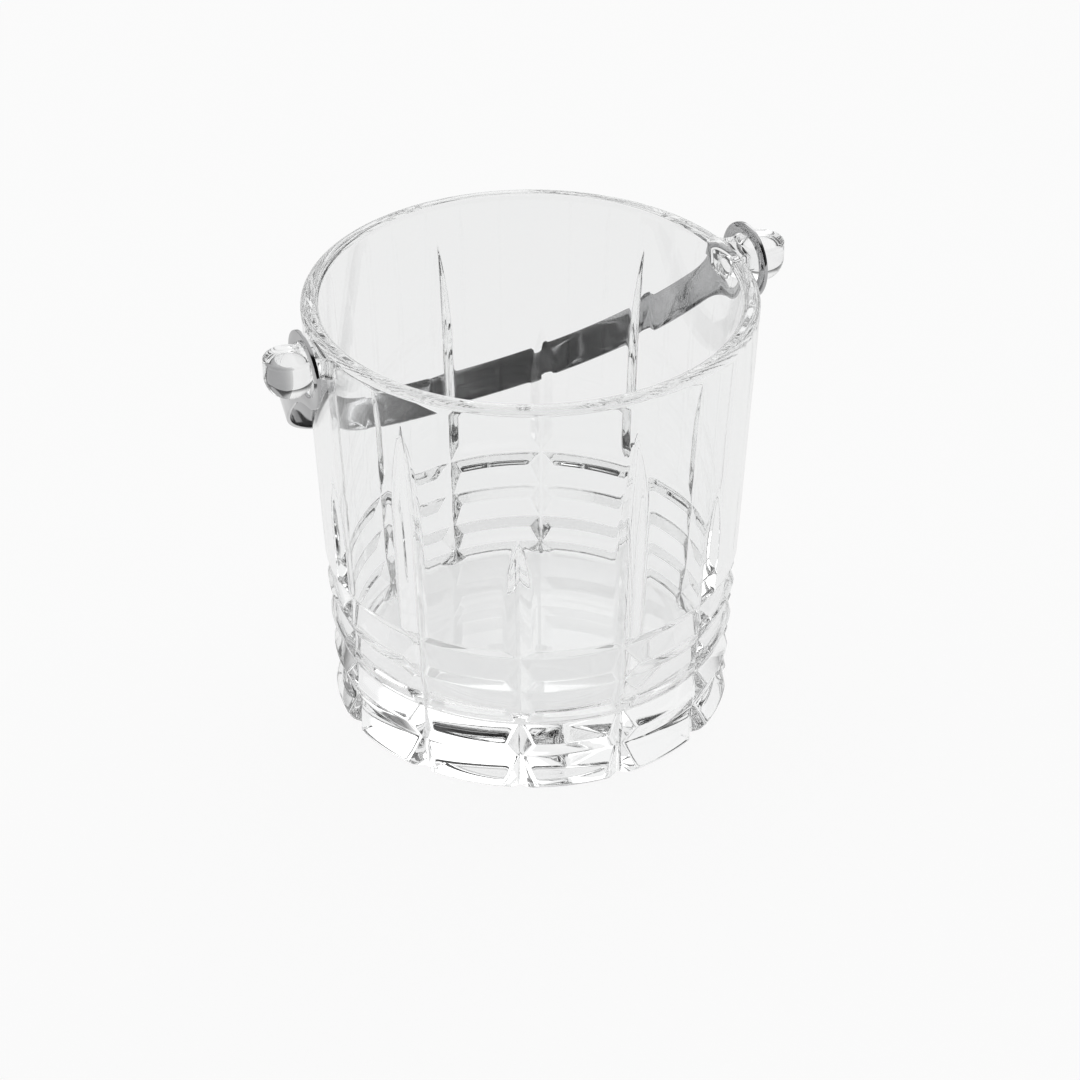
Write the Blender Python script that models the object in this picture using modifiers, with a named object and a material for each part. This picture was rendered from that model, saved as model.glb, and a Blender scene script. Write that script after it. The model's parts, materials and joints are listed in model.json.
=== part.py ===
"""Glass ice bucket with a swinging metal bail.

A pressed glass bucket with two side knobs carries a sprung strip bail.
The bucket stands on z = 0, the knobs lie along X, the bail rests back toward +Y.
"""
import bisect
import math

import bmesh
import bpy
from mathutils import Matrix, Vector

# Bucket body
RIM_RADIUS = 0.070
HEIGHT = 0.141
WALL_TAPER = 0.055
WALL_THICKNESS = 0.0055
BASE_THICKNESS = 0.018
CORNER_RADIUS = 0.012
LIP_SHARE = 0.4

# Cut pattern
STEP_PITCH = 0.01245
STEP_COUNT = 4
FOOT_STEP_HEIGHT = 0.0113
GROOVE_DEPTH = 0.0016
CREST_SHARE = 0.06
PANEL_FOOT_SHARE = 0.5
PANEL_TURN_SHARE = 0.32
PANEL_TURN_DEPTH_SHARE = 0.25
FOOT_FLARE = 0.0008
HEEL = 0.0014
MITRE_PAIRS = 6
MITRE_ANGLE = math.radians(125.0)
SHORT_MITRE_DEPTH = 0.0017
TALL_MITRE_DEPTH = 0.0025
TALL_TIP_BELOW_RIM = 0.0132
SHORT_TIP_SHARE = 0.56
RUN_OUT_SHARE = 0.5

# Knobs
HEAD_RADIUS = 0.0077
HEAD_SIDE = 0.0060
HEAD_BELOW_RIM = 0.0010
KNOB_REACH = 0.0103
NECK_HALF_WIDTH = 0.0065
NECK_HEIGHT = 0.0095
NECK_BELLY_SHARE = 0.6
NECK_ROOT_SHARE = 0.5
SWELL_START_SHARE = 0.3
SWELL_END_SHARE = 0.25
SWELL_WIDENING = 1.55
KNOB_EDGE = 0.0006

# Bail
STRIP_WIDTH = 0.0107
STRIP_THICKNESS = 0.0012
EYE_PLAY = 0.0010
EYE_RING_WIDTH = 0.0036
EYE_SPLAY = math.radians(4.0)
FLARE_LENGTH = 0.014
BAIL_REACH = 0.095
ARM_FULLNESS = 0.65
CROWN_FULLNESS = 0.66

# Fit and smoothness
GAP = 0.0003
TURN_STEPS = 72
CORNER_STEPS = 6
LIP_STEPS = 4
RUN_OUT_SPANS = 5
HEAD_STEPS = 24
HEAD_UNDERSIDE_STEPS = 7
SWELL_SPANS = 4
EYE_STEPS = 32
SHOULDER_STEP = 5
FLARE_SPANS = 4
BAIL_SPANS = 20
ARM_SAMPLES = 200
OVERCUT = 0.002


def clear_scene():
    for item in list(bpy.data.objects):
        bpy.data.objects.remove(item, do_unlink=True)


def new_collection(name):
    group = bpy.data.collections.new(name)
    bpy.context.scene.collection.children.link(group)
    return group


def new_material(name, colour, roughness, metallic, transmission):
    material = bpy.data.materials.new(name)
    material.use_nodes = True
    shader = material.node_tree.nodes["Principled BSDF"]
    shader.inputs["Base Color"].default_value = colour
    shader.inputs["Roughness"].default_value = roughness
    shader.inputs["Metallic"].default_value = metallic
    shader.inputs["Transmission Weight"].default_value = transmission
    return material


def mesh_object(name, points, edges, faces, group):
    mesh = bpy.data.meshes.new(name)
    mesh.from_pydata(points, edges, faces)
    mesh.update()
    item = bpy.data.objects.new(name, mesh)
    group.objects.link(item)
    return item


def made_mesh(item):
    """Turn an object with modifiers into one plain closed mesh."""
    bpy.context.view_layer.update()
    view = bpy.context.evaluated_depsgraph_get()
    mesh = bpy.data.meshes.new_from_object(item.evaluated_get(view))
    work = bmesh.new()
    work.from_mesh(mesh)
    bmesh.ops.remove_doubles(work, verts=work.verts, dist=0.000001)
    bmesh.ops.recalc_face_normals(work, faces=work.faces)
    work.to_mesh(mesh)
    work.free()
    item.modifiers.clear()
    item.data = mesh
    return item


def turned(name, profile, steps, group):
    """Revolve an open profile of (radius, height) pairs about its own Z axis."""
    points = [(radius, 0.0, height) for radius, height in profile]
    edges = [(index, index + 1) for index in range(len(points) - 1)]
    item = mesh_object(name, points, edges, [], group)
    screw = item.modifiers.new("turn", "SCREW")
    screw.axis = "Z"
    screw.angle = math.tau
    screw.steps = steps
    screw.render_steps = steps
    screw.use_merge_vertices = True
    screw.merge_threshold = 0.00001
    return made_mesh(item)


def arc(radius, centre, start, end, count):
    """Points on a circle about (radius, height) centre, angles in degrees."""
    points = []
    for index in range(count + 1):
        angle = math.radians(start + (end - start) * index / count)
        across = centre[0] + radius * math.cos(angle)
        up = centre[1] + radius * math.sin(angle)
        points.append((across, up))
    return points


def ringed(name, rings, group):
    """Skin a row of equal rings into a closed body with flat ends."""
    count = len(rings[0])
    points = [point for ring in rings for point in ring]
    faces = []
    for row in range(len(rings) - 1):
        for index in range(count):
            ahead = (index + 1) % count
            low = row * count
            high = low + count
            faces.append((low + index, low + ahead, high + ahead, high + index))
    last = (len(rings) - 1) * count
    faces.append(tuple(range(count - 1, -1, -1)))
    faces.append(tuple(range(last, last + count)))
    return made_mesh(mesh_object(name, points, [], faces, group))


def hide_guide(item):
    item.hide_render = True
    item.display_type = "WIRE"


def combine(target, cutter, operation):
    boolean = target.modifiers.new(operation.lower(), "BOOLEAN")
    boolean.operation = operation
    boolean.solver = "EXACT"
    boolean.object = cutter
    hide_guide(cutter)


clear_scene()
parts = new_collection("ice_bucket")
guides = new_collection("guides")

# Outside of the bucket: the lip, a tapering wall and four stacked ridges above the foot.
lip_radius = LIP_SHARE * WALL_THICKNESS
lip_height = HEIGHT - lip_radius
band_top = FOOT_STEP_HEIGHT + (STEP_COUNT - 1) * STEP_PITCH
half_crest = CREST_SHARE * STEP_PITCH


def wall_radius(height):
    return RIM_RADIUS - WALL_TAPER * (lip_height - height)


def inside_radius(height):
    return wall_radius(height) - WALL_THICKNESS


corner_top = BASE_THICKNESS + CORNER_RADIUS
profile = [(0.0, BASE_THICKNESS)]
corner_centre = (inside_radius(corner_top) - CORNER_RADIUS, corner_top)
profile += arc(CORNER_RADIUS, corner_centre, -90, 0, CORNER_STEPS)
profile += arc(lip_radius, (inside_radius(lip_height) + lip_radius, lip_height), 180, 90, LIP_STEPS)
profile += arc(lip_radius, (RIM_RADIUS - lip_radius, lip_height), 90, 0, LIP_STEPS)

panel_foot = band_top + PANEL_FOOT_SHARE * STEP_PITCH
profile.append((wall_radius(panel_foot), panel_foot))
panel_turn = band_top + PANEL_TURN_SHARE * STEP_PITCH
profile.append((wall_radius(panel_turn) - PANEL_TURN_DEPTH_SHARE * GROOVE_DEPTH, panel_turn))
for row in range(STEP_COUNT):
    groove = band_top - row * STEP_PITCH
    profile.append((wall_radius(groove) - GROOVE_DEPTH, groove))
    if row < STEP_COUNT - 1:
        ridge = groove - 0.5 * STEP_PITCH
        profile.append((wall_radius(ridge), ridge + half_crest))
        profile.append((wall_radius(ridge), ridge - half_crest))
foot_radius = wall_radius(0.0) + FOOT_FLARE
profile.append((foot_radius, HEEL))
profile.append((foot_radius - HEEL, 0.0))
profile.append((0.0, 0.0))
bucket = turned("glass_bucket", profile, TURN_STEPS, parts)

# Upright mitres, tall and short in turn: V cuts that rise to a point on the wall.
tall_tip = HEIGHT - TALL_TIP_BELOW_RIM
short_tip = band_top + SHORT_TIP_SHARE * (tall_tip - band_top)
mitre_slope = math.tan(0.5 * MITRE_ANGLE)


def mitre_ring(height, depth, turn):
    valley = wall_radius(height) - depth
    outer = wall_radius(height) + FOOT_FLARE + OVERCUT
    half = (outer - valley) * mitre_slope
    corners = ((valley, 0.0), (outer, half), (outer, -half))
    return [turn @ Vector((across, along, height)) for across, along in corners]


def mitre_rings(tip, depth, angle):
    turn = Matrix.Rotation(angle, 4, "Z")
    run_out = RUN_OUT_SHARE * (tip - band_top)
    rings = [mitre_ring(-OVERCUT, depth, turn)]
    for index in range(RUN_OUT_SPANS):
        share = index / RUN_OUT_SPANS
        rings.append(mitre_ring(tip - run_out * (1.0 - share), depth * (1.0 - share ** 2), turn))
    tip_slope = 2.0 * depth / run_out
    past = 0.5 * OVERCUT / tip_slope
    rings.append(mitre_ring(tip + past, -0.5 * OVERCUT, turn))
    return rings


for index in range(MITRE_PAIRS):
    pitch = math.tau / MITRE_PAIRS
    short = ringed("short_mitre", mitre_rings(short_tip, SHORT_MITRE_DEPTH, pitch * index), guides)
    combine(bucket, short, "DIFFERENCE")
    tall = ringed("tall_mitre", mitre_rings(tall_tip, TALL_MITRE_DEPTH, pitch * (index + 0.5)), guides)
    combine(bucket, tall, "DIFFERENCE")

# Side knobs: a flat-topped head with a round underside on a neck that swells into the rim.
head_top = HEIGHT - HEAD_BELOW_RIM
head_middle = head_top - HEAD_SIDE
head_centre = RIM_RADIUS + KNOB_REACH
neck_top = head_top - 0.5 * GAP
neck_root = RIM_RADIUS - NECK_ROOT_SHARE * WALL_THICKNESS
swell_start = RIM_RADIUS - SWELL_START_SHARE * WALL_THICKNESS
swell_end = RIM_RADIUS + SWELL_END_SHARE * KNOB_REACH
swell_width = SWELL_WIDENING * NECK_HALF_WIDTH


def neck_ring(across, half_width, side):
    """Flat-topped section with straight cheeks and a round underside."""
    belly = NECK_BELLY_SHARE * NECK_HEIGHT
    cheek = neck_top - NECK_HEIGHT + belly
    ring = [(half_width - KNOB_EDGE, neck_top), (half_width, neck_top - KNOB_EDGE)]
    half_steps = HEAD_STEPS // 2
    for index in range(half_steps + 1):
        angle = math.pi * index / half_steps
        ring.append((half_width * math.cos(angle), cheek - belly * math.sin(angle)))
    ring += [(-half_width, neck_top - KNOB_EDGE), (KNOB_EDGE - half_width, neck_top)]
    return [(side * across, along, up) for along, up in ring]


for side in (-1, 1):
    head_profile = [(0.0, head_top), (HEAD_RADIUS - KNOB_EDGE, head_top)]
    head_profile.append((HEAD_RADIUS, head_top - KNOB_EDGE))
    head_profile += arc(HEAD_RADIUS, (0.0, head_middle), 0, -90, HEAD_UNDERSIDE_STEPS)
    head = turned("knob_head", head_profile, HEAD_STEPS, guides)
    head.location.x = side * head_centre
    neck_rings = [neck_ring(neck_root, swell_width, side)]
    for index in range(1, SWELL_SPANS + 1):
        share = index / SWELL_SPANS
        across = swell_start + (swell_end - swell_start) * share
        ease = (1.0 - share) ** 2
        half_width = NECK_HALF_WIDTH + (swell_width - NECK_HALF_WIDTH) * ease
        neck_rings.append(neck_ring(across, half_width, side))
    neck_rings.append(neck_ring(head_centre, NECK_HALF_WIDTH, side))
    neck = ringed("knob_neck", neck_rings, guides)
    combine(bucket, neck, "UNION")
    combine(bucket, head, "UNION")

# Bail: one strip with a round eye at each end, bent to an arch and hung on the necks.
hole_radius = HEAD_RADIUS + EYE_PLAY
eye_radius = hole_radius + EYE_RING_WIDTH
half_strip = 0.5 * STRIP_WIDTH
eye_plane = 0.5 * (RIM_RADIUS + head_centre)
flare_end = eye_radius + FLARE_LENGTH
shoulder_angle = math.tau * SHOULDER_STEP / EYE_STEPS
shoulder_place = eye_radius * math.cos(shoulder_angle)
shoulder_half = eye_radius * math.sin(shoulder_angle)

# The eye holes hang on the top edges of the necks, and the hinge line runs through their centres.
seat_radius = hole_radius - GAP
upper_drop = math.sqrt(seat_radius ** 2 - (NECK_HALF_WIDTH - KNOB_EDGE) ** 2)
lower_drop = KNOB_EDGE + math.sqrt(seat_radius ** 2 - NECK_HALF_WIDTH ** 2)
hinge_height = neck_top - min(upper_drop, lower_drop)

# The bail leans back until its lower inner edge comes to the wall.
crown_inside = BAIL_REACH - 0.5 * STRIP_THICKNESS
reach_along = crown_inside + WALL_TAPER * half_strip
reach_down = WALL_TAPER * crown_inside - half_strip
rest_radius = wall_radius(hinge_height) + GAP
rest_angle = math.atan2(reach_down, reach_along)
rest_angle += math.acos(rest_radius / math.hypot(reach_along, reach_down))
lean = Matrix.Rotation(-rest_angle, 4, "X")

# Middle line of one arm: straight through the splayed eye, then a smooth bend to the crown.
splay = Vector((-math.sin(EYE_SPLAY), math.cos(EYE_SPLAY)))
eye_centre = Vector((eye_plane, 0.0))
eye_end = eye_centre + eye_radius * splay
crown = Vector((0.0, BAIL_REACH))
arm_handle = eye_end + ARM_FULLNESS * (BAIL_REACH - eye_end.y) * splay
crown_handle = Vector((CROWN_FULLNESS * eye_end.x, BAIL_REACH))
arm_line = []
arm_lengths = []
for sample in range(ARM_SAMPLES + 1):
    share = sample / ARM_SAMPLES
    rest = 1.0 - share
    spot = rest ** 3 * eye_end + 3.0 * rest ** 2 * share * arm_handle
    spot += 3.0 * rest * share ** 2 * crown_handle + share ** 3 * crown
    step = (spot - arm_line[-1]).length if arm_line else 0.0
    arm_lengths.append(arm_lengths[-1] + step if arm_lengths else eye_radius)
    arm_line.append(spot)
arm_length = arm_lengths[-1]


def arm_spot(place):
    """Point of the middle line at a distance along the strip from the eye centre."""
    if place <= eye_radius:
        return eye_centre + place * splay
    index = min(bisect.bisect_right(arm_lengths, place), ARM_SAMPLES)
    before = arm_lengths[index - 1]
    share = (place - before) / (arm_lengths[index] - before)
    return arm_line[index - 1].lerp(arm_line[index], min(1.0, share))


def flare_half(place):
    """Half width of the strip where it opens out into the eye."""
    span = flare_end - shoulder_place
    share = (place - shoulder_place) / span
    start_slope = -shoulder_place / shoulder_half
    start = (2.0 * share ** 3 - 3.0 * share ** 2 + 1.0) * shoulder_half
    bend = (share ** 3 - 2.0 * share ** 2 + share) * span * start_slope
    end = (3.0 * share ** 2 - 2.0 * share ** 3) * half_strip
    return start + bend + end


def bail_point(side, place, across):
    """Bend a point of the flat blank to the arch and lean it back."""
    spot = arm_spot(place)
    return lean @ Vector((side * spot.x, spot.y, across))


def eye_outline(side):
    hole = []
    edge = []
    for index in range(EYE_STEPS):
        angle = math.tau * index / EYE_STEPS
        hole.append(bail_point(side, hole_radius * math.cos(angle), hole_radius * math.sin(angle)))
        near = min(index, EYE_STEPS - index)
        sign = 1.0 if index <= EYE_STEPS - index else -1.0
        place = eye_radius * math.cos(angle)
        across = eye_radius * abs(math.sin(angle))
        if near == 0:
            place = eye_radius
            across = 0.0
        elif near < SHOULDER_STEP:
            share = (near - 1) / (SHOULDER_STEP - 1)
            place = eye_radius + (shoulder_place - eye_radius) * share
            across = flare_half(place)
        edge.append(bail_point(side, place, sign * across))
    return hole, edge


def strip_places():
    """Cross lines of the strip from the eye to just short of the crown."""
    places = [eye_radius + FLARE_LENGTH * index / FLARE_SPANS for index in range(1, FLARE_SPANS)]
    run = arm_length - flare_end
    places += [flare_end + run * index / BAIL_SPANS for index in range(BAIL_SPANS)]
    return places


def join_rows(row, ahead_row, work):
    for index in range(len(row) - 1):
        work.faces.new((row[index], row[index + 1], ahead_row[index + 1], ahead_row[index]))


def bail_half(side, work):
    hole, edge = eye_outline(side)
    hole_verts = [work.verts.new(point) for point in hole]
    edge_verts = [work.verts.new(point) for point in edge]
    for index in range(EYE_STEPS):
        ahead = (index + 1) % EYE_STEPS
        work.faces.new((hole_verts[index], edge_verts[index], edge_verts[ahead], hole_verts[ahead]))
    row = [edge_verts[-1], edge_verts[0], edge_verts[1]]
    for place in strip_places():
        half = flare_half(place) if place < flare_end else half_strip
        ahead_row = [work.verts.new(bail_point(side, place, part * half)) for part in (-1, 0, 1)]
        join_rows(row, ahead_row, work)
        row = ahead_row
    return row


blank = bmesh.new()
crown_row = [blank.verts.new(bail_point(1, arm_length, part * half_strip)) for part in (-1, 0, 1)]
for side in (-1, 1):
    join_rows(bail_half(side, blank), crown_row, blank)
bmesh.ops.recalc_face_normals(blank, faces=blank.faces)
bail_mesh = bpy.data.meshes.new("bail_handle")
blank.to_mesh(bail_mesh)
blank.free()
bail = bpy.data.objects.new("bail_handle", bail_mesh)
parts.objects.link(bail)
bail.location.z = hinge_height
gauge = bail.modifiers.new("gauge", "SOLIDIFY")
gauge.thickness = STRIP_THICKNESS
gauge.offset = 0.0
gauge.use_even_offset = True

# Finish: clear glass and polished steel.
glass = new_material("clear_glass", (0.93, 0.95, 0.95, 1.0), 0.03, 0.0, 1.0)
steel = new_material("polished_steel", (0.72, 0.72, 0.73, 1.0), 0.08, 1.0, 0.0)
bucket.data.materials.append(glass)
bail.data.materials.append(steel)
for item in (bucket, bail):
    for face in item.data.polygons:
        face.use_smooth = True
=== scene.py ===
import bisect
import json
import math

import bmesh
import bpy
from mathutils import Matrix, Vector


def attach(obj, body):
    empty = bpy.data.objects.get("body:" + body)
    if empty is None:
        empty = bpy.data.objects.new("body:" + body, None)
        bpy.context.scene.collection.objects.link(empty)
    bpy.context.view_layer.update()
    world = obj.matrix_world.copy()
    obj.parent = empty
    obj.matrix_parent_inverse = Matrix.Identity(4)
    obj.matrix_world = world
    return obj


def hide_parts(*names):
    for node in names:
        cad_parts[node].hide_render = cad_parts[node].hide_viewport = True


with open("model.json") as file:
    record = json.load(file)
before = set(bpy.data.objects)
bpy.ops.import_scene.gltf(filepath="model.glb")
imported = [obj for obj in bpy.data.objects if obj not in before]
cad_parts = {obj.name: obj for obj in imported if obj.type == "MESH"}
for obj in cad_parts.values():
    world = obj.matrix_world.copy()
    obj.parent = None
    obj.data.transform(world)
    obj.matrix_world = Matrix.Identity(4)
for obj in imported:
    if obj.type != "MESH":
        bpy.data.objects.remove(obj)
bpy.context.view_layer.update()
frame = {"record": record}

# Glass body: one thick piece of clear pressed glass, spun from its wall section.
# The stacked ridges come from the section itself, and the pointed upright mitres are pressed
# into the spun wall, where they cross the ridges and turn them into rows of hipped blocks.
rim_radius = 0.070
bucket_height = 0.141
wall_taper = 0.055
wall_thickness = 0.0055
outer_skin = 0.6 * wall_thickness
floor_height = 0.018
floor_corner = 0.012
lip_radius = 0.0022
lip_height = bucket_height - lip_radius
ridge_pitch = 0.01245
ridge_rows = 4
ridge_fillet = 0.0005
groove_depth = 0.0024
top_groove_depth = 0.0029
groove_fillet = 0.00025
foot_groove = 0.0113
foot_flare = 0.0008
heel = 0.0014
heel_fillet = 0.0009
underside_fillet = 0.0007
band_top = foot_groove + (ridge_rows - 1) * ridge_pitch
panel_foot = band_top + 0.38 * ridge_pitch
panel_foot_fillet = 0.0022
mitre_count = 12
mitre_sector = math.radians(360.0 / mitre_count)
mitre_slope = math.tan(math.radians(57.5))
mitre_root = math.radians(0.16)
mitre_least_edge = math.radians(0.9)
mitre_edge_break = 0.00018
tall_mitre_depth = 0.0031
short_mitre_depth = 0.0028
tall_tip = bucket_height - 0.0132
short_tip = band_top + 0.56 * (tall_tip - band_top)
valley_columns = 7
panel_columns = 16
sector_columns = 2 * valley_columns + panel_columns
fillet_steps = 5
broad_fillet = 0.002
floor_span = 0.008
inside_span = 0.004
lip_span = 0.0012
panel_span = 0.0016
ridge_span = 0.0008
heel_span = 0.0005
underside_span = 0.009


def wall_radius(height):
    return rim_radius - wall_taper * (lip_height - height)


def rounded_path(corners):
    """Fillet the corners of an open path and space points along its straight runs.

    Each corner is (radius, height, fillet, span), and the span is for the run that leads to it.
    """
    path = []
    for index, (across, up, fillet, span) in enumerate(corners):
        here = Vector((across, up))
        if fillet == 0.0:
            piece = [here]
        else:
            back = (Vector(corners[index - 1][:2]) - here).normalized()
            ahead = (Vector(corners[index + 1][:2]) - here).normalized()
            half = 0.5 * back.angle(ahead)
            reach = fillet / math.tan(half)
            centre = here + (back + ahead).normalized() * fillet / math.sin(half)
            start = here + back * reach - centre
            end = here + ahead * reach - centre
            turn = start.angle_signed(end)
            piece = []
            arc_steps = 2 * fillet_steps if fillet > broad_fillet else fillet_steps
            for step in range(arc_steps + 1):
                angle = -turn * step / arc_steps
                spun = Vector((
                    start.x * math.cos(angle) - start.y * math.sin(angle),
                    start.x * math.sin(angle) + start.y * math.cos(angle)))
                piece.append(centre + spun)
        if path and span:
            gap = piece[0] - path[-1]
            count = max(1, round(gap.length / span))
            path += [path[-1] + gap * share / count for share in range(1, count)]
        path += piece
    return path


def wall_section():
    """From the middle of the inside floor, over the lip and down the ridges to the underside."""
    inside_foot = wall_radius(floor_height) - wall_thickness
    inside_lip = rim_radius - wall_thickness + wall_taper * lip_radius
    outside_lip = rim_radius + wall_taper * lip_radius
    foot_radius = wall_radius(0.0) + foot_flare
    corners = [
        (0.0, floor_height, 0.0, 0.0),
        (inside_foot, floor_height, floor_corner, floor_span),
        (inside_lip, bucket_height, lip_radius, inside_span),
        (outside_lip, bucket_height, lip_radius, lip_span),
        (wall_radius(panel_foot), panel_foot, panel_foot_fillet, panel_span)]
    for row in range(ridge_rows):
        groove = band_top - row * ridge_pitch
        depth = groove_depth if row else top_groove_depth
        corners.append((wall_radius(groove) - depth, groove, groove_fillet, ridge_span))
        if row < ridge_rows - 1:
            ridge = groove - 0.5 * ridge_pitch
            corners.append((wall_radius(ridge), ridge, ridge_fillet, ridge_span))
    corners += [
        (foot_radius, heel, heel_fillet, ridge_span),
        (foot_radius - heel, 0.0, underside_fillet, heel_span),
        (0.0, 0.0, 0.0, underside_span)]
    return rounded_path(corners)


def mitre_depth(height, tip, depth):
    """Full depth low on the wall, running out to nothing at the tip and standing clear above it."""
    run_out = 0.5 * (tip - band_top)
    share = (height - tip + run_out) / run_out
    if share <= 0.0:
        return depth
    if share <= 1.0:
        return depth * (1.0 - share * share)
    return -2.0 * depth * (share - 1.0)


def mitre_edge(radius, valley):
    """Angle from the middle of a mitre to where its cheek meets the wall."""
    slope = math.atan(1.0 / mitre_slope)
    cosine = valley * mitre_slope / (radius * math.hypot(mitre_slope, 1.0))
    edge = math.acos(min(1.0, cosine)) - slope
    return max(edge, mitre_least_edge)


def mitre_wall(valley, offset):
    """Radius of a mitre's cheek at an angle from its middle, with a soft root."""
    soft = math.hypot(offset, mitre_root)
    return valley * mitre_slope / (mitre_slope * math.cos(soft) - math.sin(soft))


def soft_least(first, second):
    """The smaller of two radii, with the edge where they cross softly broken."""
    overlap = max(mitre_edge_break - abs(first - second), 0.0) / mitre_edge_break
    return min(first, second) - 0.25 * mitre_edge_break * overlap * overlap


def press_mitres(work):
    """Gather the spun columns to the mitres and push the wall back to their cheeks."""
    axis_zone = 0.001
    for vert in work.verts:
        radius = math.hypot(vert.co.x, vert.co.y)
        if radius < axis_zone:
            continue
        height = vert.co.z
        turn = math.atan2(vert.co.y, vert.co.x) % math.tau
        column = round(turn / mitre_sector * sector_columns)
        period, place = divmod(column, 2 * sector_columns)
        mirrored = place > sector_columns
        if mirrored:
            place = 2 * sector_columns - place
        surface = wall_radius(height)
        short_valley = surface - mitre_depth(height, short_tip, short_mitre_depth)
        tall_valley = surface - mitre_depth(height, tall_tip, tall_mitre_depth)
        outside = radius > surface - outer_skin and height < lip_height
        reference = radius if outside else surface
        short_edge = mitre_edge(reference, short_valley)
        tall_edge = mitre_edge(reference, tall_valley)
        if place <= valley_columns:
            angle = short_edge * place / valley_columns
        elif place >= valley_columns + panel_columns:
            angle = mitre_sector - tall_edge * (sector_columns - place) / valley_columns
        else:
            share = (place - valley_columns) / panel_columns
            eased = 0.5 * share + 0.25 * (1.0 - math.cos(math.pi * share))
            angle = short_edge + (mitre_sector - tall_edge - short_edge) * eased
        if outside:
            radius = soft_least(radius, mitre_wall(short_valley, angle))
            radius = soft_least(radius, mitre_wall(tall_valley, mitre_sector - angle))
        angle = 2.0 * mitre_sector - angle if mirrored else angle
        angle += 2.0 * mitre_sector * period
        vert.co.x = radius * math.cos(angle)
        vert.co.y = radius * math.sin(angle)


def mesh_piece(name, work):
    for face in work.faces:
        face.smooth = True
    mesh = bpy.data.meshes.new(name)
    work.to_mesh(mesh)
    work.free()
    piece = bpy.data.objects.new(name, mesh)
    bpy.context.scene.collection.objects.link(piece)
    return piece


def spun_profile(path, steps, turn_centre):
    work = bmesh.new()
    verts = [work.verts.new((turn_centre.x + spot.x, 0.0, spot.y)) for spot in path]
    edges = [work.edges.new(pair) for pair in zip(verts, verts[1:])]
    bmesh.ops.spin(
        work, geom=verts + edges, cent=turn_centre, axis=(0, 0, 1), angle=math.tau, steps=steps,
        use_merge=True)
    bmesh.ops.remove_doubles(work, verts=work.verts, dist=0.000002)
    bmesh.ops.recalc_face_normals(work, faces=work.faces)
    return work


body_work = spun_profile(wall_section(), mitre_count * sector_columns, Vector((0.0, 0.0, 0.0)))
press_mitres(body_work)
glass_bucket = mesh_piece("clear_bucket", body_work)

# Side knobs: pressed in one with the wall. A flat-topped head with a round underside stands on a
# flat-topped neck that swells out of the rim, and the eyes of the carrying strip hang on the necks.
head_radius = 0.0077
head_top = bucket_height - 0.0010
head_side = 0.0060
head_centre = rim_radius + 0.0103
head_columns = 72
head_edge_steps = 6
neck_half_width = 0.0065
neck_height = 0.0095
neck_top = head_top - 0.00015
neck_cheek = neck_top - 0.4 * neck_height
neck_belly = 0.6 * neck_height
neck_edge_steps = 5
neck_root = rim_radius - 0.0030
neck_root_half_width = 0.0105
swell_start = rim_radius - 0.0018
swell_run = 0.0050
swell_width = 0.0036
swell_curve = 2.4
swell_spans = 10
belly_steps = 24
knob_edge = 0.0009
crease_angle = math.radians(38.0)


def neck_section(work, across, half_width):
    """A closed ring of vertices: flat top, straight cheeks and a round belly."""
    ring = []
    for index in range(neck_edge_steps + 1):
        angle = 0.5 * math.pi * (1.0 - index / neck_edge_steps)
        ring.append((half_width - knob_edge + knob_edge * math.cos(angle),
                     neck_top - knob_edge + knob_edge * math.sin(angle)))
    for index in range(belly_steps + 1):
        angle = math.pi * index / belly_steps
        ring.append((half_width * math.cos(angle), neck_cheek - neck_belly * math.sin(angle)))
    for index in range(neck_edge_steps + 1):
        angle = 0.5 * math.pi * index / neck_edge_steps
        ring.append((-half_width + knob_edge - knob_edge * math.cos(angle),
                     neck_top - knob_edge + knob_edge * math.sin(angle)))
    verts = [work.verts.new((across, along, up)) for along, up in ring]
    return [work.edges.new(pair) for pair in zip(verts, verts[1:] + verts[:1])]


def knob_neck(side):
    """Bridge sections that narrow from the root in the wall to the middle of the head."""
    work = bmesh.new()
    stations = [(neck_root, neck_root_half_width)]
    for index in range(swell_spans + 1):
        share = index / swell_spans
        across = swell_start + swell_run * share
        stations.append((across, neck_half_width + swell_width * (1.0 - share) ** swell_curve))
    stations.append((head_centre, neck_half_width))
    rings = [neck_section(work, side * across, half) for across, half in stations]
    for ring, ahead in zip(rings, rings[1:]):
        bmesh.ops.bridge_loops(work, edges=ring + ahead)
    bmesh.ops.contextual_create(work, geom=rings[0])
    bmesh.ops.contextual_create(work, geom=rings[-1])
    bmesh.ops.recalc_face_normals(work, faces=work.faces)
    return mesh_piece("neck_form", work)


def knob_head(side):
    """Spin a flat top with a broken edge, a short straight side and a half-round underside."""
    middle = head_top - head_side
    path = [Vector((0.0, head_top))]
    for index in range(head_edge_steps + 1):
        angle = 0.5 * math.pi * (1.0 - index / head_edge_steps)
        path.append(Vector((head_radius - knob_edge + knob_edge * math.cos(angle),
                            head_top - knob_edge + knob_edge * math.sin(angle))))
    for index in range(belly_steps + 1):
        angle = -0.5 * math.pi * index / belly_steps
        path.append(Vector((head_radius * math.cos(angle), middle + head_radius * math.sin(angle))))
    path[-1].x = 0.0
    turn_centre = Vector((side * head_centre, 0.0, 0.0))
    return mesh_piece("head_form", spun_profile(path, head_columns, turn_centre))


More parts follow.
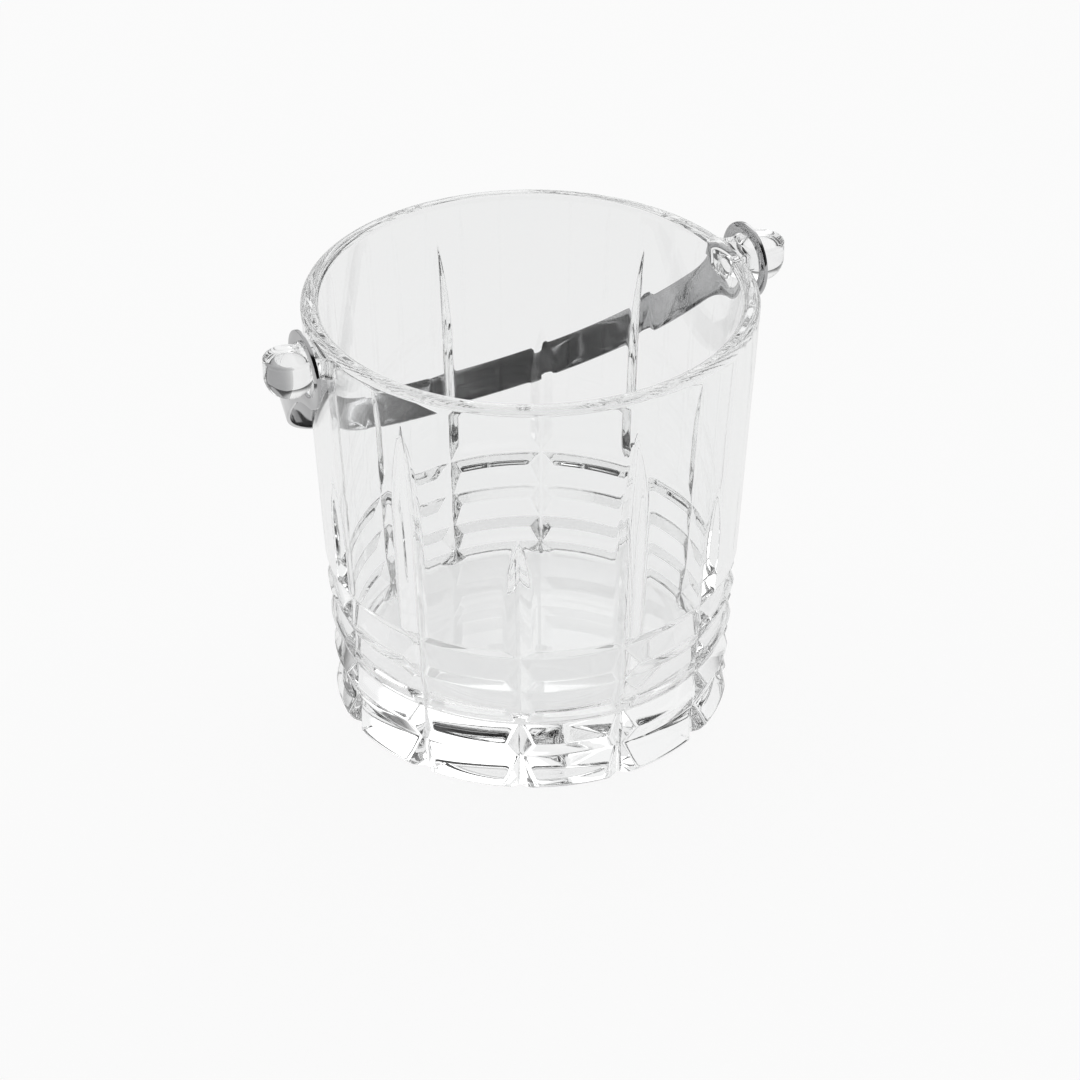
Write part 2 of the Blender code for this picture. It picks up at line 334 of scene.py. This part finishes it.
knob_forms = []
for knob_side in (-1, 1):
    knob_forms += [knob_neck(knob_side), knob_head(knob_side)]
for form in knob_forms:
    join = glass_bucket.modifiers.new("press", "BOOLEAN")
    join.operation = "UNION"
    join.solver = "MANIFOLD"
    join.object = form
bpy.context.view_layer.update()
evaluated = glass_bucket.evaluated_get(bpy.context.evaluated_depsgraph_get())
pressed_mesh = bpy.data.meshes.new_from_object(evaluated)
glass_bucket.modifiers.clear()
glass_bucket.data = pressed_mesh
for form in knob_forms:
    bpy.data.objects.remove(form, do_unlink=True)
pressed_mesh.polygons.foreach_set("use_smooth", [True] * len(pressed_mesh.polygons))
pressed_mesh.set_sharp_from_angle(angle=crease_angle)


def pressed_waviness():
    """Slow swells and faint mould ripple of pressed glass, as a height."""
    ripple_share = 0.008
    group = bpy.data.node_groups.new("pressed_waviness", "ShaderNodeTree")
    group.interface.new_socket("Vector", in_out="INPUT", socket_type="NodeSocketVector")
    group.interface.new_socket("Height", in_out="OUTPUT", socket_type="NodeSocketFloat")
    nodes = group.nodes
    entry = nodes.new("NodeGroupInput")
    leave = nodes.new("NodeGroupOutput")
    swell = nodes.new("ShaderNodeTexNoise")
    swell.inputs["Scale"].default_value = 38.0
    swell.inputs["Detail"].default_value = 1.0
    ripple = nodes.new("ShaderNodeTexNoise")
    ripple.inputs["Scale"].default_value = 240.0
    ripple.inputs["Detail"].default_value = 2.0
    mix = nodes.new("ShaderNodeMath")
    mix.operation = "MULTIPLY_ADD"
    mix.inputs[1].default_value = ripple_share
    group.links.new(entry.outputs["Vector"], swell.inputs["Vector"])
    group.links.new(entry.outputs["Vector"], ripple.inputs["Vector"])
    group.links.new(ripple.outputs["Fac"], mix.inputs[0])
    group.links.new(swell.outputs["Fac"], mix.inputs[2])
    group.links.new(mix.outputs["Value"], leave.inputs["Height"])
    return group


def clear_pressed_glass():
    """Clear glass with a faint tint, a faint haze and slow waves, and a softened mirror."""
    material = bpy.data.materials.new("clear_pressed_glass")
    material.use_nodes = True
    nodes = material.node_tree.nodes
    links = material.node_tree.links
    shader = nodes["Principled BSDF"]
    shader.inputs["Transmission Weight"].default_value = 1.0
    shader.inputs["Metallic"].default_value = 0.0
    shader.inputs["IOR"].default_value = 1.5
    shader.inputs["Specular Tint"].default_value = (0.5, 0.5, 0.5, 1.0)
    place = nodes.new("ShaderNodeTexCoord")
    wave = nodes.new("ShaderNodeGroup")
    wave.node_tree = pressed_waviness()
    links.new(place.outputs["Object"], wave.inputs["Vector"])
    bump = nodes.new("ShaderNodeBump")
    bump.inputs["Strength"].default_value = 0.035
    bump.inputs["Distance"].default_value = 0.0006
    links.new(wave.outputs["Height"], bump.inputs["Height"])
    links.new(bump.outputs["Normal"], shader.inputs["Normal"])
    tint = nodes.new("ShaderNodeValToRGB")
    tint.color_ramp.elements[0].color = (0.985, 0.990, 0.989, 1.0)
    tint.color_ramp.elements[1].color = (0.997, 0.999, 0.999, 1.0)
    links.new(wave.outputs["Height"], tint.inputs["Fac"])
    links.new(tint.outputs["Color"], shader.inputs["Base Color"])
    haze = nodes.new("ShaderNodeMapRange")
    haze.inputs["To Min"].default_value = 0.0
    haze.inputs["To Max"].default_value = 0.012
    links.new(wave.outputs["Height"], haze.inputs["Value"])
    links.new(haze.outputs["Result"], shader.inputs["Roughness"])
    return material


glass_bucket.data.materials.clear()
glass_bucket.data.materials.append(clear_pressed_glass())
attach(glass_bucket, "bucket")
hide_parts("glass_bucket")

# Carrying strip: one length of springy polished steel with a round eye punched in each flared end.
# It is bent to an arch, opened over the knobs, and leans back against the outside of the wall.
strip_half = 0.00535
strip_gauge = 0.0012
edge_break_width = 0.00022
eye_hole = 0.0087
eye_radius = eye_hole + 0.0036
eye_splay = math.radians(4.0)
flare_end = eye_radius + 0.014
strip_reach = 0.095
splay_pull = 0.65
crown_pull = 0.66
rest_gap = 0.0003
hinge = Vector(frame["record"]["behaviour"]["joints"][0]["pos_m"])
crown_inside = strip_reach - 0.5 * strip_gauge
reach_along = crown_inside + wall_taper * strip_half
reach_down = wall_taper * crown_inside - strip_half
rest_radius = wall_radius(hinge.z) + rest_gap
rest_angle = math.atan2(reach_down, reach_along)
rest_angle += math.acos(rest_radius / math.hypot(reach_along, reach_down))
strip_lean = Matrix.Rotation(-rest_angle, 3, "X")
arm_samples = 400
flare_rows = 8
strip_rows = 60
eye_segments = 64
tail_steps = 2
shoulder = 10
shoulder_angle = math.tau * shoulder / eye_segments
shoulder_place = eye_radius * math.cos(shoulder_angle)
shoulder_half = eye_radius * math.sin(shoulder_angle)


def strip_half_width(place):
    """Half the strip's width at a distance from the eye centre, easing out of the round eye."""
    if place >= flare_end:
        return strip_half
    span = flare_end - shoulder_place
    share = (place - shoulder_place) / span
    start = (2.0 * share ** 3 - 3.0 * share ** 2 + 1.0) * shoulder_half
    bend = (share ** 3 - 2.0 * share ** 2 + share) * span * -shoulder_place / shoulder_half
    return start + bend + (3.0 * share ** 2 - 2.0 * share ** 3) * strip_half


def arm_line():
    """Middle line of one arm after its straight eye, with the distance from the eye centre."""
    splay = Vector((-math.sin(eye_splay), math.cos(eye_splay)))
    start = Vector((0.5 * (rim_radius + head_centre), 0.0)) + eye_radius * splay
    handle = start + splay_pull * (strip_reach - start.y) * splay
    crown_handle = Vector((crown_pull * start.x, strip_reach))
    crown = Vector((0.0, strip_reach))
    spots = []
    lengths = []
    for sample in range(arm_samples + 1):
        share = sample / arm_samples
        rest = 1.0 - share
        spot = rest ** 3 * start + 3.0 * rest ** 2 * share * handle
        spot += 3.0 * rest * share ** 2 * crown_handle + share ** 3 * crown
        lengths.append(lengths[-1] + (spot - spots[-1]).length if spots else eye_radius)
        spots.append(spot)
    return spots, lengths, splay


arm_spots, arm_lengths, arm_splay = arm_line()


def arm_spot(place):
    """The point of the middle line at a distance from the eye centre."""
    if place <= eye_radius:
        return arm_spots[0] + (place - eye_radius) * arm_splay
    index = min(max(bisect.bisect_right(arm_lengths, place), 1), arm_samples)
    share = (place - arm_lengths[index - 1]) / (arm_lengths[index] - arm_lengths[index - 1])
    return arm_spots[index - 1].lerp(arm_spots[index], min(share, 1.0))


def half_strip(work, side):
    """Punch the eye, draw the flare out of it, run the strip to the crown, then bend it."""
    ring = bmesh.ops.create_circle(work, cap_ends=False, radius=eye_hole, segments=eye_segments)
    hole = ring["verts"]
    edges = list(dict.fromkeys(edge for vert in hole for edge in vert.link_edges))
    grown = bmesh.ops.extrude_edge_only(work, edges=edges)["geom"]
    rim = [item for item in grown if isinstance(item, bmesh.types.BMVert)]
    made = list(hole) + rim
    tail = []
    for vert in rim:
        step = round(math.atan2(vert.co.y, vert.co.x) / math.tau * eye_segments)
        near = abs(step)
        sign = 1.0 if step >= 0 else -1.0
        if near <= tail_steps:
            vert.co = Vector((eye_radius, step / tail_steps * strip_half_width(eye_radius), 0.0))
            tail.append(vert)
        elif near < shoulder:
            share = (near - tail_steps) / (shoulder - tail_steps)
            place = eye_radius + (shoulder_place - eye_radius) * share
            vert.co = Vector((place, sign * strip_half_width(place), 0.0))
        else:
            vert.co = vert.co.normalized() * eye_radius
    tail_edges = [edge for edge in work.edges if edge.verts[0] in tail and edge.verts[1] in tail]
    flare_run = flare_end - eye_radius
    strip_run = arm_lengths[-1] - flare_end
    places = [eye_radius + flare_run * index / flare_rows for index in range(1, flare_rows)]
    places += [flare_end + strip_run * index / strip_rows for index in range(strip_rows + 1)]
    for place in places:
        grown = bmesh.ops.extrude_edge_only(work, edges=tail_edges)["geom"]
        tail_edges = [item for item in grown if isinstance(item, bmesh.types.BMEdge)]
        row = [item for item in grown if isinstance(item, bmesh.types.BMVert)]
        tail_edges = [edge for edge in tail_edges if edge.verts[0] in row and edge.verts[1] in row]
        widest = max(vert.co.y for vert in row)
        for vert in row:
            vert.co = Vector((place, vert.co.y / widest * strip_half_width(place), 0.0))
        made += row
    for vert in made:
        spot = arm_spot(vert.co.x)
        vert.co = hinge + strip_lean @ Vector((side * spot.x, spot.y, vert.co.y))


strip_work = bmesh.new()
for strip_side in (-1, 1):
    half_strip(strip_work, strip_side)
bmesh.ops.remove_doubles(strip_work, verts=strip_work.verts, dist=0.00001)
bmesh.ops.recalc_face_normals(strip_work, faces=strip_work.faces)
carrying_strip = mesh_piece("carrying_strip", strip_work)
gauge = carrying_strip.modifiers.new("gauge", "SOLIDIFY")
gauge.thickness = strip_gauge
gauge.offset = 0.0
gauge.use_even_offset = True
edge_break = carrying_strip.modifiers.new("edge_break", "BEVEL")
edge_break.width = edge_break_width
edge_break.segments = 3
edge_break.limit_method = "ANGLE"
edge_break.angle_limit = math.radians(50.0)


def polished_strip_steel():
    """Bright steel with a fine drawn grain from side to side, slow dents and smears."""
    grain_share = 0.004
    material = bpy.data.materials.new("polished_strip_steel")
    material.use_nodes = True
    nodes = material.node_tree.nodes
    links = material.node_tree.links
    shader = nodes["Principled BSDF"]
    shader.inputs["Metallic"].default_value = 1.0
    place = nodes.new("ShaderNodeTexCoord")
    grain = nodes.new("ShaderNodeMapping")
    grain.inputs["Scale"].default_value = (1.0, 9.0, 9.0)
    links.new(place.outputs["Object"], grain.inputs["Vector"])
    lines = nodes.new("ShaderNodeTexNoise")
    lines.inputs["Scale"].default_value = 420.0
    lines.inputs["Detail"].default_value = 3.0
    links.new(grain.outputs["Vector"], lines.inputs["Vector"])
    smear = nodes.new("ShaderNodeTexNoise")
    smear.inputs["Scale"].default_value = 70.0
    smear.inputs["Detail"].default_value = 4.0
    links.new(place.outputs["Object"], smear.inputs["Vector"])
    rough = nodes.new("ShaderNodeMapRange")
    rough.inputs["From Min"].default_value = 0.3
    rough.inputs["From Max"].default_value = 0.75
    rough.inputs["To Min"].default_value = 0.03
    rough.inputs["To Max"].default_value = 0.10
    links.new(smear.outputs["Fac"], rough.inputs["Value"])
    links.new(rough.outputs["Result"], shader.inputs["Roughness"])
    tone = nodes.new("ShaderNodeValToRGB")
    tone.color_ramp.elements[0].position = 0.3
    tone.color_ramp.elements[0].color = (0.38, 0.38, 0.385, 1.0)
    tone.color_ramp.elements[1].position = 0.7
    tone.color_ramp.elements[1].color = (0.48, 0.48, 0.485, 1.0)
    links.new(smear.outputs["Fac"], tone.inputs["Fac"])
    links.new(tone.outputs["Color"], shader.inputs["Base Color"])
    swell = nodes.new("ShaderNodeTexNoise")
    swell.inputs["Scale"].default_value = 48.0
    swell.inputs["Detail"].default_value = 1.0
    links.new(place.outputs["Object"], swell.inputs["Vector"])
    relief = nodes.new("ShaderNodeMath")
    relief.operation = "MULTIPLY_ADD"
    relief.inputs[1].default_value = grain_share
    links.new(lines.outputs["Fac"], relief.inputs[0])
    links.new(swell.outputs["Fac"], relief.inputs[2])
    bump = nodes.new("ShaderNodeBump")
    bump.inputs["Strength"].default_value = 1.0
    bump.inputs["Distance"].default_value = 0.0008
    links.new(relief.outputs["Value"], bump.inputs["Height"])
    links.new(bump.outputs["Normal"], shader.inputs["Normal"])
    return material


carrying_strip.data.materials.append(polished_strip_steel())
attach(carrying_strip, "bail")
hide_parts("bail_handle")

# Studio: a plain white floor that keeps a faint soft shadow, under dim surroundings that darken
# behind the camera, with a broad soft light above and behind and a smaller one behind each side.
# The floor lies just below the foot, so that the flat glass underside keeps its film of air.
floor_half_size = 60.0
floor_gap = 0.0004
seen_white = 0.92
mirrored_white = 0.70
glass_bounces = 24
floor_work = bmesh.new()
bmesh.ops.create_grid(floor_work, x_segments=1, y_segments=1, size=floor_half_size)
bmesh.ops.translate(floor_work, verts=floor_work.verts, vec=(0.0, 0.0, -floor_gap))
studio_floor = mesh_piece("studio_floor", floor_work)


def white_floor():
    """White paint, lifted to plain white where the camera, a mirror or clear glass sees it."""
    material = bpy.data.materials.new("white_floor")
    material.use_nodes = True
    nodes = material.node_tree.nodes
    links = material.node_tree.links
    paint = nodes["Principled BSDF"]
    paint.inputs["Base Color"].default_value = (0.90, 0.90, 0.90, 1.0)
    paint.inputs["Roughness"].default_value = 0.9
    paint.inputs["Specular IOR Level"].default_value = 0.0
    glow = nodes.new("ShaderNodeEmission")
    seen = nodes.new("ShaderNodeLightPath")
    mirrored = nodes.new("ShaderNodeMath")
    mirrored.operation = "MAXIMUM"
    links.new(seen.outputs["Is Glossy Ray"], mirrored.inputs[0])
    links.new(seen.outputs["Is Transmission Ray"], mirrored.inputs[1])
    through = nodes.new("ShaderNodeMath")
    through.operation = "MULTIPLY"
    through.inputs[1].default_value = mirrored_white
    links.new(mirrored.outputs["Value"], through.inputs[0])
    lift = nodes.new("ShaderNodeMath")
    lift.operation = "MULTIPLY_ADD"
    lift.inputs[1].default_value = seen_white
    links.new(seen.outputs["Is Camera Ray"], lift.inputs[0])
    links.new(through.outputs["Value"], lift.inputs[2])
    mix = nodes.new("ShaderNodeMixShader")
    links.new(lift.outputs["Value"], mix.inputs["Fac"])
    links.new(paint.outputs["BSDF"], mix.inputs[1])
    links.new(glow.outputs["Emission"], mix.inputs[2])
    links.new(mix.outputs["Shader"], nodes["Material Output"].inputs["Surface"])
    return material


studio_floor.data.materials.append(white_floor())

studio = bpy.data.worlds.new("studio")
bpy.context.scene.world = studio
studio.use_nodes = True
sky_nodes = studio.node_tree.nodes
sky_links = studio.node_tree.links
sky = sky_nodes["Background"]
sky.inputs["Color"].default_value = (1.0, 1.0, 1.0, 1.0)
sky_place = sky_nodes.new("ShaderNodeTexCoord")


def sky_patch(toward, inner, outer, low, high):
    """Brightness that goes from low outside to high inside a round patch of the sky."""
    turn = sky_nodes.new("ShaderNodeVectorMath")
    turn.operation = "DOT_PRODUCT"
    turn.inputs[1].default_value = Vector(toward).normalized()
    sky_links.new(sky_place.outputs["Generated"], turn.inputs[0])
    fade = sky_nodes.new("ShaderNodeMapRange")
    fade.interpolation_type = "SMOOTHSTEP"
    fade.inputs["From Min"].default_value = math.cos(math.radians(outer))
    fade.inputs["From Max"].default_value = math.cos(math.radians(inner))
    fade.inputs["To Min"].default_value = low
    fade.inputs["To Max"].default_value = high
    sky_links.new(turn.outputs["Value"], fade.inputs["Value"])
    return fade.outputs["Result"]


def sky_sum(first, second):
    join = sky_nodes.new("ShaderNodeMath")
    join.operation = "ADD"
    sky_links.new(first, join.inputs[0])
    sky_links.new(second, join.inputs[1])
    return join.outputs["Value"]


dark_room = sky_patch((-0.35, -0.75, 0.56), inner=42.0, outer=74.0, low=0.12, high=0.010)
overhead = sky_patch((0.20, 0.50, 0.84), inner=45.0, outer=60.0, low=0.0, high=0.80)
left_card = sky_patch((-0.80, 0.50, 0.30), inner=14.0, outer=18.0, low=0.0, high=0.8)
right_card = sky_patch((0.65, 0.60, 0.45), inner=18.0, outer=24.0, low=0.0, high=0.9)
light = sky_sum(sky_sum(sky_sum(dark_room, overhead), left_card), right_card)
sky_links.new(light, sky.inputs["Strength"])

bpy.context.scene.cycles.max_bounces = glass_bounces
bpy.context.scene.cycles.glossy_bounces = glass_bounces
bpy.context.scene.cycles.transmission_bounces = glass_bounces

# The camera looks down on the bucket from the front left, at the photograph's angle.
camera_data = bpy.data.cameras.new("view")
camera_data.lens = 120.41
camera_data.sensor_width = 36.0
view = bpy.data.objects.new("view", camera_data)
view.location = (-0.4339, -0.8597, 0.6728)
view.rotation_euler = (math.radians(57.18), math.radians(0.039), math.radians(-26.973))
bpy.context.scene.collection.objects.link(view)
bpy.context.scene.camera = view
bpy.context.scene.view_settings.view_transform = "Standard"
